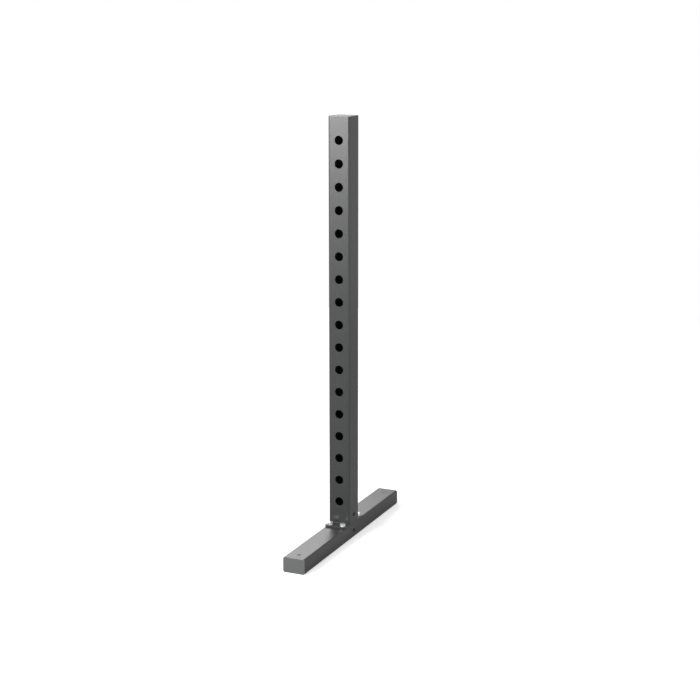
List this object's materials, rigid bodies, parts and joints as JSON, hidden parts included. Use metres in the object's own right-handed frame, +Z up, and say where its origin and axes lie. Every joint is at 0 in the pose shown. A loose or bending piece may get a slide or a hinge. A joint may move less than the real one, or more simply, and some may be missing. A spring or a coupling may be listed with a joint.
{
  "type": "high jump standard",
  "caption": "Free-standing drilled post for a high jump bar: square steel tube with peg holes up its front, bolted by a welded flange to a flat foot beam.",
  "frame": {"origin": "on the floor, under the middle of the upright, which is the middle of the foot", "axes": "+Z up the post, Y along the foot with the front end at -Y, +X across the post to the right as seen from the front"},
  "size_m": [0.075, 0.764, 1.408],
  "materials": {
    "steel_paint": "dark grey powder coat on steel, satin",
    "cap_plastic": "grey moulded polyethylene, fine matt texture",
    "zinc_plate": "bright zinc plating on steel",
    "bare_steel": "mill-finish steel, lightly oiled"
  },
  "bodies": {
    "root": {"upright_tube": "steel_paint", "upright_top_cap": "cap_plastic", "base_flange": "steel_paint", "weld_front": "steel_paint", "weld_rear": "steel_paint", "foot_beam": "steel_paint", "foot_end_cap_front": "cap_plastic", "foot_end_cap_rear": "cap_plastic", "nut_plate": "bare_steel", "flange_bolts": "zinc_plate", "flange_washers": "zinc_plate", "floor_hole_plug_front": "cap_plastic", "floor_hole_plug_rear": "cap_plastic"}
  },
  "joints": []
}
